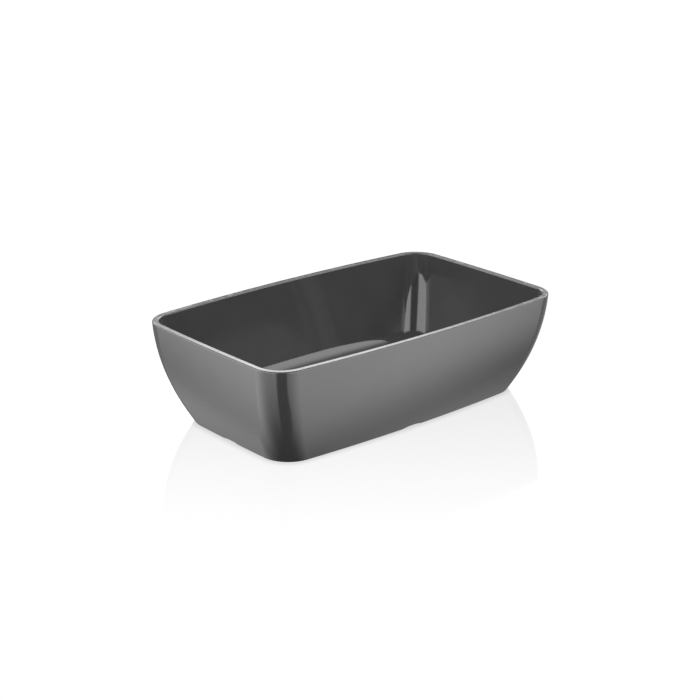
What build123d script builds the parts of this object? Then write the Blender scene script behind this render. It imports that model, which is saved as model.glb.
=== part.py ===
from build123d import *
import math
import os

# Deep rectangular dish, moulded in one piece.
# The frame has +Z up and X along the length. The origin is the centre of the foot, on the surface that
# the dish rests on. Sizes are in millimetres and angles in degrees.

# Overall size. The length and the width are taken across the middle of the bowed walls, at the level of
# the rim, before its edges are rounded.
rim_length = 265.0
rim_width = 162.0
height = 74.0

# Plan outline: four bowed walls that meet in round corners.
side_bow_radius = 1280.0
end_bow_radius = 2000.0
corner_radius = 22.0

# Wall profile: each wall is one arc from rim to foot. Its draft is the slope away from upright, at the rim.
side_inset = 20.4
side_draft = 2.9
end_inset = 20.8
end_draft = 2.1
profile_sections = 7

# Moulded thicknesses and rounds. The wall is measured level, straight across the rim. The round between
# walls and floor stays under the radius of the inside corners that it runs into, by the clearance.
wall = 4.8
floor_thickness = 6.0
rim_edge_radius = 1.0
floor_fillet_radius = 15.5
floor_fillet_clearance = 0.5

# Foot: a low ring around a recessed base. The two rounds on the ring's inner wall share its height, and
# the clearance keeps a little of the wall upright between them.
foot_height = 2.0
foot_ring_width = 6.5
foot_outer_radius = 1.5
foot_inner_radius = 0.8
recess_fillet_radius = 1.0
recess_fillet_clearance = 0.1

# Drain notches: a shallow arc across the foot ring in the middle of each wall.
notch_width = 20.0
notch_depth = 1.4


def wall_inset(level, inset, draft):
    """How far an arc-shaped wall has drawn in from the rim, at a level above the foot."""
    rim_angle = math.radians(draft)
    foot_angle = 2 * math.atan2(inset, height) - rim_angle
    radius = height / (math.sin(foot_angle) - math.sin(rim_angle))
    angle = math.asin(math.sin(rim_angle) + (height - level) / radius)
    return radius * (math.cos(rim_angle) - math.cos(angle))


def outline(level, margin=0.0):
    """The dish's plan outline at a level, drawn in by a margin all round."""
    half_length = rim_length / 2 - wall_inset(level, end_inset, end_draft) - margin
    half_width = rim_width / 2 - wall_inset(level, side_inset, side_draft) - margin
    side_radius = side_bow_radius - margin
    end_radius = end_bow_radius - margin

    plan = Pos(0, half_width - side_radius) * Circle(side_radius)
    plan &= Pos(0, side_radius - half_width) * Circle(side_radius)
    plan &= Pos(half_length - end_radius, 0) * Circle(end_radius)
    plan &= Pos(end_radius - half_length, 0) * Circle(end_radius)
    plan = fillet(plan.vertices(), corner_radius - margin)
    return Pos(0, 0, level) * plan


def lofted(low_level, margin=0.0):
    """A smooth solid through the outlines from a low level up to the rim."""
    step = (height - low_level) / (profile_sections - 1)
    return loft([outline(low_level + step * n, margin) for n in range(profile_sections)])


def cavity():
    """The inside of the dish, as a solid, with a round where the walls meet the floor."""
    floor_level = foot_height + floor_thickness
    inside = lofted(floor_level, wall)
    floor = inside.faces().sort_by(Axis.Z)[0]
    largest_round = corner_radius - wall - floor_fillet_clearance
    return fillet(floor.edges(), min(floor_fillet_radius, largest_round))


def recess_round():
    """Radius between the ring's inner wall and the recessed base, within what the ring's height leaves."""
    return min(recess_fillet_radius, foot_height - foot_inner_radius - recess_fillet_clearance)


def base_recess():
    """The hollow under the base, inside the foot ring."""
    recess = extrude(outline(0, foot_ring_width), foot_height)
    ceiling = recess.faces().sort_by(Axis.Z)[-1]
    return fillet(ceiling.edges(), recess_round())


def notch_bar(length, turn):
    """A round bar that cuts a shallow arc across the foot ring. The turn lays the bar down."""
    half_width = notch_width / 2
    radius = (half_width**2 + notch_depth**2) / (2 * notch_depth)
    return Pos(0, 0, notch_depth - radius) * Cylinder(radius, length, rotation=turn)


def dish():
    """The whole dish: outer shape, less the cavity, the base recess and the drain notches."""
    body = lofted(0)
    base = body.faces().sort_by(Axis.Z)[0]
    body = fillet(base.edges(), foot_outer_radius)

    body -= base_recess()
    foot = body.faces().sort_by(Axis.Z)[0]
    body = fillet(foot.inner_wires()[0].edges(), foot_inner_radius)

    body -= cavity()
    rim = body.faces().sort_by(Axis.Z)[-1]
    body = fillet(rim.edges(), rim_edge_radius)

    body -= notch_bar(rim_width, (90, 0, 0))
    body -= notch_bar(rim_length, (0, 90, 0))
    return body


os.makedirs("parts", exist_ok=True)
export_step(dish(), "parts/dish.step")
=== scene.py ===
import bpy
import math
import numpy as np
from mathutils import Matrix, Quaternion, Vector


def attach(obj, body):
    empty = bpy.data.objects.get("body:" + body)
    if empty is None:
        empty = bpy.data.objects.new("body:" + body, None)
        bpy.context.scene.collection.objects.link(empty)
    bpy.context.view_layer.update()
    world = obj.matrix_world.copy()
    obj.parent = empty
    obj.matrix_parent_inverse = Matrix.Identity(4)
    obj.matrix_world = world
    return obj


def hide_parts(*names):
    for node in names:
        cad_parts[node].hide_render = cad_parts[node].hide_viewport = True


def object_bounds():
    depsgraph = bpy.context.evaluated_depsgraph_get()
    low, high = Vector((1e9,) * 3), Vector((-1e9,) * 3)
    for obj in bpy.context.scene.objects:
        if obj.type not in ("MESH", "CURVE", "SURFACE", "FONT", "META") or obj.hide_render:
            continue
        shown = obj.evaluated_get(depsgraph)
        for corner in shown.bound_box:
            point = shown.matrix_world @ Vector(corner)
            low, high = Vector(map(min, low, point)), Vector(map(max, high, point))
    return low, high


# A deep rectangular dish of glossy dark grey melamine, on a pale studio floor.
# Sizes of the dish are in millimetres, other lengths in metres, and angles in degrees.

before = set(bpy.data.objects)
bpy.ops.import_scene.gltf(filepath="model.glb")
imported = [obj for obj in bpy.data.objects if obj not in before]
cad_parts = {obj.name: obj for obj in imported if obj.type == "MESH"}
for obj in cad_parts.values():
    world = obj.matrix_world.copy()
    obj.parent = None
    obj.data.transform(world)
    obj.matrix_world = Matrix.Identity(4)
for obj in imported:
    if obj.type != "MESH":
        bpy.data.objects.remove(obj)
cad_low, cad_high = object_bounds()

# The dish's shape, which repeats the CAD part's sizes.
RIM_LENGTH = 265.0
RIM_WIDTH = 162.0
HEIGHT = 74.0
SIDE_BOW_RADIUS = 1280.0
END_BOW_RADIUS = 2000.0
CORNER_RADIUS = 22.0
SIDE_INSET = 20.4
SIDE_DRAFT = 2.9
END_INSET = 20.8
END_DRAFT = 2.1
WALL = 4.8
CAVITY_FLOOR = 8.0
RIM_EDGE_RADIUS = 1.0
FLOOR_FILLET_RADIUS = 15.5
FOOT_RING_WIDTH = 6.5
FOOT_OUTER_RADIUS = 1.5
FOOT_INNER_RADIUS = 0.8
RECESS_HEIGHT = 2.0
RECESS_FILLET_RADIUS = 1.0
NOTCH_WIDTH = 20.0
NOTCH_DEPTH = 1.4

# How finely the shape is drawn. END, CORNER and SIDE_STEPS go round a quarter of the outline, and WALL_STEPS
# up the plain part of a wall, between WALL_LOW and WALL_HIGH. TANGENT_STEPS search for where the floor's
# round leaves the wall, SLOPE_STEP measures a wall's slope, and FLAT_SHARES are the rings across a flat face.
END_STEPS = 26
CORNER_STEPS = 20
SIDE_STEPS = 52
WALL_STEPS = 22
ROUND_STEPS = 6
FILLET_STEPS = 16
TANGENT_STEPS = 40
WALL_LOW = 18.0
WALL_HIGH = 71.5
SLOPE_STEP = 0.5
FLAT_SHARES = (0.1, 0.4, 0.7)
NOTCH_SPREAD = 0.01
UP = np.array([0.0, 0.0, 1.0])
MM_PER_METRE = 1000

# Camera: where it stands round the dish, and the point it aims at, measured from the middle of the dish.
CAMERA_AZIMUTH = -40.65
CAMERA_ELEVATION = 19.99
CAMERA_ROLL = -0.08
CAMERA_DISTANCE = 1.1361
CAMERA_CLIP_START = 0.01
AIM_RIGHT = -0.0038
AIM_UP = 0.003
SENSOR_WIDTH = 36.0
LENS = 81.43

# From here on a ramp is written as where it starts and ends, and then its values there, unless they are 0
# and 1.

# Floor. Its mirror fades in and out with how far a spot lies in front of the dish's middle. Its glow dims
# under the dish and within CONTACT_REACH of it, a painted contact shadow.
FLOOR_RADIUS = 8.0
FLOOR_SIDES = 128
FLOOR_GAP = 0.0001
FLOOR_LIGHT = 1.02
FLOOR_MIRROR = 0.21
FLOOR_ROUGHNESS = 0.08
FLOOR_MIRROR_START = (-0.1, 0.0)
FLOOR_MIRROR_END = (-0.05, 0.27, FLOOR_MIRROR, 0.0)
CONTACT_REACH = 0.006
CONTACT_SAMPLES = 8
CONTACT_SHADE = 0.75
CONTACT_LIGHT = (0.0, 1.0, CONTACT_SHADE * FLOOR_LIGHT, FLOOR_LIGHT)

# Studio: two softboxes either side of a gap, and a panel opposite the gap. A ramp named BY_HEIGHT runs with
# the elevation, and any other with the angle round from the middle of the gap, but for BOX_TOP_FADE, which
# runs with the elevation above the boxes' top edge.
GAP_AZIMUTH = -43.0
BOX_LEVEL = 3.1
BOX_BOTTOM_BY_HEIGHT = (-80.0, -22.0)
BOX_TOP_EDGE = (80.0, 105.0, 42.0, 62.0)
BOX_TOP_FADE = (-8.0, 8.0, 1.0, 0.0)

# The right box starts at an edge that leans away from the gap lower down, and brightens slowly from there.
RIGHT_EDGE_BY_HEIGHT = (-65.0, -35.0, 44.0, 20.0)
RIGHT_EDGE_LEVEL_BY_HEIGHT = (-20.0, 5.0, 0.4, 0.57)
RIGHT_EDGE_SOFTNESS = 8.0
RIGHT_RISE_START = 20.0
RIGHT_RISE_END_BY_HEIGHT = (-30.0, 0.0, 72.0, 34.0)
RIGHT_RISE = 0.47
RIGHT_FADE = (86.0, 120.0)
RIGHT_FADE_LEVEL_BY_HEIGHT = (-55.0, -35.0, 0.55, 0.15)

# The left box is dimmer next to the gap, most of all lower down.
LEFT_EDGE = (8.0, 18.0)
LEFT_EDGE_LEVEL_BY_HEIGHT = (-20.0, 5.0, 0.55, 1.0)
LEFT_RISE = (45.0, 90.0, 0.0, 0.33)
LEFT_FADE = (90.0, 122.0)
LEFT_FADE_LEVEL_BY_HEIGHT = (-42.0, -24.0, 0.45, 0.15)
LEFT_SECOND_FADE = (125.0, 155.0, 1.0, 0.4)

PANEL_EDGE = (120.0, 145.0)
PANEL_BOTTOM_BY_HEIGHT = (18.0, 20.5)
PANEL_TOP_BY_HEIGHT = (27.0, 42.0, 3.4, 0.0)

SOFT_LIGHT_BY_HEIGHT = (0.0, 50.0, 0.3, 1.6)
BACKDROP_LEVEL = 1.05
WHITE = (1, 1, 1, 1)

# Melamine. A noise is a scale and a detail.
DARK_TINT = (0.056, 0.056, 0.057, 1)
LIGHT_TINT = (0.063, 0.063, 0.064, 1)
WORN_TINT = (0.10, 0.10, 0.10, 1)
REFRACTION = 1.6
MOTTLE_NOISE = (38.0, 5.0)
MOTTLE_REACH = (0.35, 0.95)
SPECKLE_NOISE = (1400.0, 2.0)
SPECKLE_SHARE = 0.3
SMEAR_NOISE = (16.0, 3.0)
SMEAR_ROUGHNESS = (0.35, 0.7, 0.035, 0.075)
PEEL_NOISE = (170.0, 1.0)
PEEL_DEPTH = 0.000012

# Scratches: the turn of each set, with the noise of the patches it shows in.
SCRATCH_SETS = (((8, 12, 25), (21.0, 2.0)), ((-14, 5, -38), (27.0, 2.0)))
SCRATCH_STRETCH = (22.0, 2600.0, 2600.0)
SCRATCH_NOISE = (1.0, 1.0)
SCRATCH_THRESHOLD = (0.68, 0.74)
SCRATCH_PATCH = (0.45, 0.65)
SCRATCH_DEPTH = 0.000004
SCRATCH_DULLING = 0.12

# Wear, which keeps within a short reach of the rim's top and the foot's underside.
WEAR_NOISE = (210.0, 5.0)
WEAR_PATCH = (0.45, 0.62)
WEAR_REACH = 1.2
WEAR_RIM = ((HEIGHT - WEAR_REACH) / MM_PER_METRE, HEIGHT / MM_PER_METRE)
WEAR_FOOT = (0.0, WEAR_REACH / MM_PER_METRE, 1.0, 0.0)
WEAR_SHOW = 0.35
WEAR_DULLING = 0.06


def wall_inset(level, inset, draft):
    """How far an arc-shaped wall has drawn in from the rim, at a level above the foot."""
    rim_angle = math.radians(draft)
    foot_angle = 2 * math.atan2(inset, HEIGHT) - rim_angle
    radius = HEIGHT / (math.sin(foot_angle) - math.sin(rim_angle))
    angle = math.asin(math.sin(rim_angle) + (HEIGHT - level) / radius)
    return radius * (math.cos(rim_angle) - math.cos(angle))


def all_round(quarter):
    """A quarter of a ring of level points or directions, and its mirror images, in one row."""
    there, back = quarter[:-1], quarter[:0:-1]
    return np.concatenate([there, back * (-1, 1, 1), there * (-1, -1, 1), back * (1, -1, 1)])


def outline(level, margin=0.0):
    """Points round the plan outline at a level, drawn in by a margin, and the way out at each of them."""
    length = RIM_LENGTH / 2 - wall_inset(level, END_INSET, END_DRAFT) - margin
    width = RIM_WIDTH / 2 - wall_inset(level, SIDE_INSET, SIDE_DRAFT) - margin
    end, side, corner = END_BOW_RADIUS - margin, SIDE_BOW_RADIUS - margin, CORNER_RADIUS - margin
    end_centre, side_centre = Vector((length - end, 0)), Vector((0, width - side))

    # The corner is tangent to both bows, so its centre is their radii less its own away from their centres.
    between = side_centre - end_centre
    along = ((end - corner) ** 2 - (side - corner) ** 2 + between.length_squared) / (2 * between.length)
    across = math.sqrt((end - corner) ** 2 - along**2)
    ahead = between.normalized()
    corner_centre = end_centre + ahead * along + Vector((-ahead.y, ahead.x)) * across
    start = math.atan2(*(corner_centre - end_centre).yx)
    stop = math.atan2(*(corner_centre - side_centre).yx)

    points, ways = [], []
    for centre, radius, angles in (
        (end_centre, end, np.linspace(0, start, END_STEPS, endpoint=False)),
        (corner_centre, corner, np.linspace(start, stop, CORNER_STEPS, endpoint=False)),
        (side_centre, side, np.linspace(stop, math.pi / 2, SIDE_STEPS + 1)),
    ):
        way = np.stack([np.cos(angles), np.sin(angles), 0 * angles], 1)
        ways.append(way)
        points.append(np.array([*centre, level]) + radius * way)
    return all_round(np.concatenate(points)), all_round(np.concatenate(ways))


def wall_section(level, margin=0.0):
    """Points and surface directions round a sloping wall at a level. A margin makes it the inner wall."""
    points, way = outline(level, margin)
    ahead = outline(level + SLOPE_STEP, margin)[0] - outline(level - SLOPE_STEP, margin)[0]
    slope = (ahead * way).sum(1, keepdims=True) / (2 * SLOPE_STEP)
    facing = way - slope * UP
    facing /= np.linalg.norm(facing, axis=1, keepdims=True)
    return points, -facing if margin else facing


def turned(first, last, steps):
    """Surface directions on the way from one to another, in even steps of angle."""
    angle = np.arccos(np.clip((first * last).sum(1, keepdims=True), -1, 1))
    for share in np.linspace(0, 1, steps + 1):
        yield (np.sin((1 - share) * angle) * first + np.sin(share * angle) * last) / np.sin(angle)


def rounded(edge, first, last, radius, hollow=False):
    """Sections of a round from one surface's direction to another's, where the two meet in an edge."""
    reach = -radius if hollow else radius
    centre = edge - reach * (first + last) / (1 + (first * last).sum(1, keepdims=True))
    for facing in turned(first, last, ROUND_STEPS):
        yield centre + reach * facing, facing


def floor_round():
    """Sections of the round from the floor up to the inner wall."""
    levels = np.linspace(CAVITY_FLOOR, WALL_LOW, TANGENT_STEPS + 1)
    walls = [wall_section(level, WALL) for level in levels]
    points = np.array([wall[0] for wall in walls])
    facings = np.array([wall[1] for wall in walls])

    # A ball of the round's radius against the wall touches the floor too where its lift is zero.
    lift = levels[:, None] + FLOOR_FILLET_RADIUS * facings[:, :, 2] - CAVITY_FLOOR - FLOOR_FILLET_RADIUS
    touch = np.array([np.interp(0, column, np.arange(len(levels))) for column in lift.T])
    below = touch.astype(int)
    share = (touch - below)[:, None]
    around = np.arange(len(touch))
    start = points[below, around] * (1 - share) + points[below + 1, around] * share
    facing = facings[below, around] * (1 - share) + facings[below + 1, around] * share
    facing /= np.linalg.norm(facing, axis=1, keepdims=True)
    centre = start + FLOOR_FILLET_RADIUS * facing
    for way in turned(np.broadcast_to(UP, facing.shape), facing, FILLET_STEPS):
        yield centre - FLOOR_FILLET_RADIUS * way, way


def sections():
    """All the dish's sections, from the middle of its floor, over the rim, to the middle of its base."""
    floor_curve = list(floor_round())
    floor_edge, up = floor_curve[0]
    down = -up
    for share in FLAT_SHARES:
        yield floor_edge * (share, share, 1), up
    yield from floor_curve
    levels = np.linspace(WALL_LOW, WALL_HIGH, WALL_STEPS)
    for level in levels:
        yield wall_section(level, WALL)
    edge, inner = wall_section(HEIGHT, WALL)
    yield from rounded(edge, inner, up, RIM_EDGE_RADIUS)
    edge, outer = wall_section(HEIGHT)
    yield from rounded(edge, up, outer, RIM_EDGE_RADIUS)

    for level in np.concatenate([levels[::-1], np.linspace(WALL_LOW, FOOT_OUTER_RADIUS, FILLET_STEPS)[1:]]):
        yield wall_section(level)
    edge, outer = wall_section(0)
    yield from rounded(edge, outer, down, FOOT_OUTER_RADIUS)
    edge, way = outline(0, FOOT_RING_WIDTH)
    yield from rounded(edge, down, -way, FOOT_INNER_RADIUS)
    recess_curve = list(rounded(edge + RECESS_HEIGHT * UP, -way, down, RECESS_FILLET_RADIUS, hollow=True))
    yield from recess_curve
    for share in FLAT_SHARES[::-1]:
        yield recess_curve[-1][0] * (share, share, 1), down


def notched(points, facings):
    """The dish's points with those in the way of the drain notches lifted to where the notches are cut.

    Each keeps a small share of its own height, so that points above one another don't meet.
    """
    radius = ((NOTCH_WIDTH / 2) ** 2 + NOTCH_DEPTH**2) / (2 * NOTCH_DEPTH)
    for across in (0, 1):
        reach = points[:, across]
        top = np.sqrt(np.maximum(radius**2 - reach**2, 0)) + NOTCH_DEPTH - radius
        cut = (np.abs(reach) < NOTCH_WIDTH / 2) & (points[:, 2] < top)
        points[cut, 2] = top[cut] + NOTCH_SPREAD * points[cut, 2]
        facings[cut] = -UP
    return points, facings


class Nodes:
    """Short ways to add shader nodes to one node tree."""

    def __init__(self, owner):
        owner.use_nodes = True
        self.tree = owner.node_tree
        self.tree.nodes.clear()

    def add(self, kind, inputs, **settings):
        """A node with its settings. An input is a number, a colour or another node's output."""
        node = self.tree.nodes.new("ShaderNode" + kind)
        for name, value in settings.items():
            setattr(node, name, value)
        for socket, value in inputs.items():
            if isinstance(value, bpy.types.NodeSocket):
                self.tree.links.new(value, node.inputs[socket])
            else:
                node.inputs[socket].default_value = value
        return node

    def math(self, operation, *values):
        """The result of one Math node."""
        return self.add("Math", dict(enumerate(values)), operation=operation).outputs[0]

    def product(self, first, *others):
        """All the values multiplied together."""
        for other in others:
            first = self.math("MULTIPLY", first, other)
        return first

    def ramp(self, value, low, high, to_low=0.0, to_high=1.0):
        """Smooth change from one level to another as a value goes from low to high."""
        inputs = dict(enumerate((value, low, high, to_low, to_high)))
        return self.add("MapRange", inputs, interpolation_type="SMOOTHSTEP").outputs[0]

    def switch(self, factor, first, second):
        """The first of two numbers, or the second where the factor is one."""
        return self.add("Mix", {0: factor, 2: first, 3: second}, data_type="FLOAT").outputs[0]

    def blend(self, factor, first, second):
        """A colour between two others."""
        return self.add("Mix", {0: factor, 6: first, 7: second}, data_type="RGBA").outputs[2]


def melamine():
    """Glossy dark grey melamine: a faint mottle, orange peel, fine scratches, and wear on rim and foot."""
    material = bpy.data.materials.new("dark_melamine")
    n = Nodes(material)
    place = n.add("TexCoord", {}).outputs["Object"]
    height = n.add("SeparateXYZ", {0: place}).outputs["Z"]

    def noise(scale, detail, where=place):
        return n.add("TexNoise", {"Vector": where, "Scale": scale, "Detail": detail}).outputs[0]

    def scratches(turn, patch_noise):
        """Fine straight scratches along one direction, where a patchy mask lets them show."""
        turn = [math.radians(part) for part in turn]
        stretch = n.add("Mapping", {"Vector": place, "Rotation": turn, "Scale": SCRATCH_STRETCH})
        line = n.ramp(noise(*SCRATCH_NOISE, stretch.outputs[0]), *SCRATCH_THRESHOLD)
        return n.product(line, n.ramp(noise(*patch_noise), *SCRATCH_PATCH))

    edges = n.math("MAXIMUM", n.ramp(height, *WEAR_RIM), n.ramp(height, *WEAR_FOOT))
    wear = n.product(edges, n.ramp(noise(*WEAR_NOISE), *WEAR_PATCH))
    lines = n.math("MAXIMUM", *[scratches(*each) for each in SCRATCH_SETS])
    mottle = n.math("ADD", noise(*MOTTLE_NOISE), n.product(noise(*SPECKLE_NOISE), SPECKLE_SHARE))

    tint = n.blend(n.ramp(mottle, *MOTTLE_REACH), DARK_TINT, LIGHT_TINT)
    tint = n.blend(n.product(wear, WEAR_SHOW), tint, WORN_TINT)

    dull = n.ramp(noise(*SMEAR_NOISE), *SMEAR_ROUGHNESS)
    dull = n.math("ADD", dull, n.product(lines, SCRATCH_DULLING))
    dull = n.math("ADD", dull, n.product(wear, WEAR_DULLING))

    peel = n.add("Bump", {"Strength": 1.0, "Distance": PEEL_DEPTH, "Height": noise(*PEEL_NOISE)})
    cut = n.add(
        "Bump",
        {"Strength": 1.0, "Distance": SCRATCH_DEPTH, "Height": lines, "Normal": peel.outputs[0]},
        invert=True,
    )
    shader = n.add(
        "BsdfPrincipled",
        {"Base Color": tint, "Roughness": dull, "IOR": REFRACTION, "Normal": cut.outputs[0]},
    )
    n.add("OutputMaterial", {0: shader.outputs[0]})
    return material


def add_dish():
    """A smooth mesh of the dish, which stands for the CAD node."""
    rows = list(sections())
    around = len(rows[0][0])
    points, facings = notched(
        np.concatenate([row[0] for row in rows]), np.concatenate([row[1] for row in rows])
    )
    numbers = np.arange(len(points)).reshape(-1, around)
    here, there = numbers[:-1], numbers[1:]
    quads = np.stack([here, there, np.roll(there, -1, 1), np.roll(here, -1, 1)], 2).reshape(-1, 4)
    faces = [numbers[0].tolist(), *quads.tolist(), numbers[-1][::-1].tolist()]
    mesh = bpy.data.meshes.new("dish_surface")
    mesh.from_pydata((points / MM_PER_METRE).tolist(), [], faces)
    mesh.shade_smooth()
    mesh.normals_split_custom_set_from_vertices(facings.tolist())
    dish = bpy.data.objects.new("dish_surface", mesh)
    bpy.context.scene.collection.objects.link(dish)
    dish.data.materials.append(melamine())
    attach(dish, "root")
    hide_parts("dish")


def front_direction():
    """The level direction of the dish's front, where the camera stands."""
    azimuth = math.radians(CAMERA_AZIMUTH)
    return Vector((math.sin(azimuth), -math.cos(azimuth), 0))


def add_camera():
    """The camera, which looks at the dish from the front left and a little above."""
    elevation = math.radians(CAMERA_ELEVATION)
    back = front_direction() * math.cos(elevation) + Vector((0, 0, math.sin(elevation)))
    turn = (-back).to_track_quat("-Z", "Y")
    aim = (cad_low + cad_high) / 2 + turn @ Vector((AIM_RIGHT, AIM_UP, 0))
    camera = bpy.data.objects.new("camera", bpy.data.cameras.new("camera"))
    camera.data.sensor_width = SENSOR_WIDTH
    camera.data.lens = LENS
    camera.data.clip_start = CAMERA_CLIP_START
    camera.location = aim + back * CAMERA_DISTANCE
    camera.rotation_mode = "QUATERNION"
    camera.rotation_quaternion = turn @ Quaternion((0, 0, 1), math.radians(CAMERA_ROLL))
    bpy.context.scene.collection.objects.link(camera)
    bpy.context.scene.camera = camera


def add_floor():
    """A floor that glows white, with a painted contact shadow where its glow dims near the dish, and mirrors
    the dish faintly near its foot.
    """
    bpy.ops.mesh.primitive_circle_add(
        vertices=FLOOR_SIDES, radius=FLOOR_RADIUS, fill_type="NGON", location=(0, 0, cad_low.z - FLOOR_GAP)
    )
    floor = bpy.context.object
    floor.name = "floor"

    # The studio's own lower half lights the dish and shows in its gloss, so the floor does neither.
    floor.visible_glossy = False
    floor.visible_diffuse = False
    material = bpy.data.materials.new("floor")
    n = Nodes(material)
    # Painted contact shadow: the floor's glow is dimmed where ambient occlusion finds the dish close by.
    contact_shadow_occlusion = n.add("AmbientOcclusion", {"Distance": CONTACT_REACH}, samples=CONTACT_SAMPLES)
    glow = n.add("Emission", {"Strength": n.ramp(contact_shadow_occlusion.outputs["AO"], *CONTACT_LIGHT)})
    mirror = n.add("BsdfGlossy", {"Roughness": FLOOR_ROUGHNESS})
    spot = n.add("NewGeometry", {}).outputs["Position"]
    reach = n.add("VectorMath", {0: spot, 1: front_direction()}, operation="DOT_PRODUCT").outputs["Value"]
    share = n.product(n.ramp(reach, *FLOOR_MIRROR_START), n.ramp(reach, *FLOOR_MIRROR_END))
    mix = n.add("MixShader", {0: share, 1: glow.outputs[0], 2: mirror.outputs[0]})
    n.add("OutputMaterial", {0: mix.outputs[0]})
    floor.data.materials.append(material)


def right_box(n, around, elevation):
    """Level of the softbox to the right of the gap, over the angle round to the right."""
    beyond = n.math("SUBTRACT", around, n.ramp(elevation, *RIGHT_EDGE_BY_HEIGHT))
    edge_level = n.ramp(elevation, *RIGHT_EDGE_LEVEL_BY_HEIGHT)
    level = n.ramp(beyond, 0.0, RIGHT_EDGE_SOFTNESS, 0.0, edge_level)
    rise_end = n.ramp(elevation, *RIGHT_RISE_END_BY_HEIGHT)
    level = n.math("ADD", level, n.ramp(around, RIGHT_RISE_START, rise_end, 0.0, RIGHT_RISE))
    fade_level = n.ramp(elevation, *RIGHT_FADE_LEVEL_BY_HEIGHT)
    return n.product(level, n.ramp(around, *RIGHT_FADE, 1.0, fade_level))


def left_box(n, around, elevation):
    """Level of the softbox to the left of the gap, over the angle round to the left."""
    edge_level = n.ramp(elevation, *LEFT_EDGE_LEVEL_BY_HEIGHT)
    level = n.math("ADD", n.ramp(around, *LEFT_EDGE, 0.0, edge_level), n.ramp(around, *LEFT_RISE))
    fade_level = n.ramp(elevation, *LEFT_FADE_LEVEL_BY_HEIGHT)
    return n.product(level, n.ramp(around, *LEFT_FADE, 1.0, fade_level), n.ramp(around, *LEFT_SECOND_FADE))


def add_studio():
    """Two large softboxes with a gap between them, and a panel behind, as one world around the dish."""
    world = bpy.data.worlds.new("studio")
    bpy.context.scene.world = world
    n = Nodes(world)
    direction = n.add("TexCoord", {}).outputs["Generated"]
    x, y, z = n.add("SeparateXYZ", {0: direction}).outputs
    azimuth = n.math("DEGREES", n.math("ARCTAN2", x, n.product(y, -1.0)))
    elevation = n.math("DEGREES", n.math("ARCSINE", z))
    around = n.math("WRAP", n.math("SUBTRACT", azimuth, GAP_AZIMUTH), 180.0, -180.0)
    away = n.math("ABSOLUTE", around)

    right = right_box(n, around, elevation)
    left = left_box(n, n.product(around, -1.0), elevation)
    above_top = n.math("SUBTRACT", elevation, n.ramp(away, *BOX_TOP_EDGE))
    height_fade = n.product(n.ramp(elevation, *BOX_BOTTOM_BY_HEIGHT), n.ramp(above_top, *BOX_TOP_FADE))
    boxes = n.product(n.math("ADD", right, left), BOX_LEVEL, height_fade)
    panel = n.product(
        n.ramp(away, *PANEL_EDGE),
        n.ramp(elevation, *PANEL_BOTTOM_BY_HEIGHT),
        n.ramp(elevation, *PANEL_TOP_BY_HEIGHT),
    )

    # The softboxes show in the gloss. The body colour is lit by a softer light, which comes from above.
    path = n.add("LightPath", {}).outputs
    soft = n.ramp(elevation, *SOFT_LIGHT_BY_HEIGHT)
    level = n.switch(path["Is Diffuse Ray"], n.math("ADD", boxes, panel), soft)
    level = n.switch(path["Is Camera Ray"], level, BACKDROP_LEVEL)
    light = n.add("Background", {"Strength": level, "Color": WHITE})
    n.add("OutputWorld", {0: light.outputs[0]})


add_camera()
add_floor()
add_studio()
add_dish()
scene = bpy.context.scene
scene.view_settings.view_transform = "Standard"
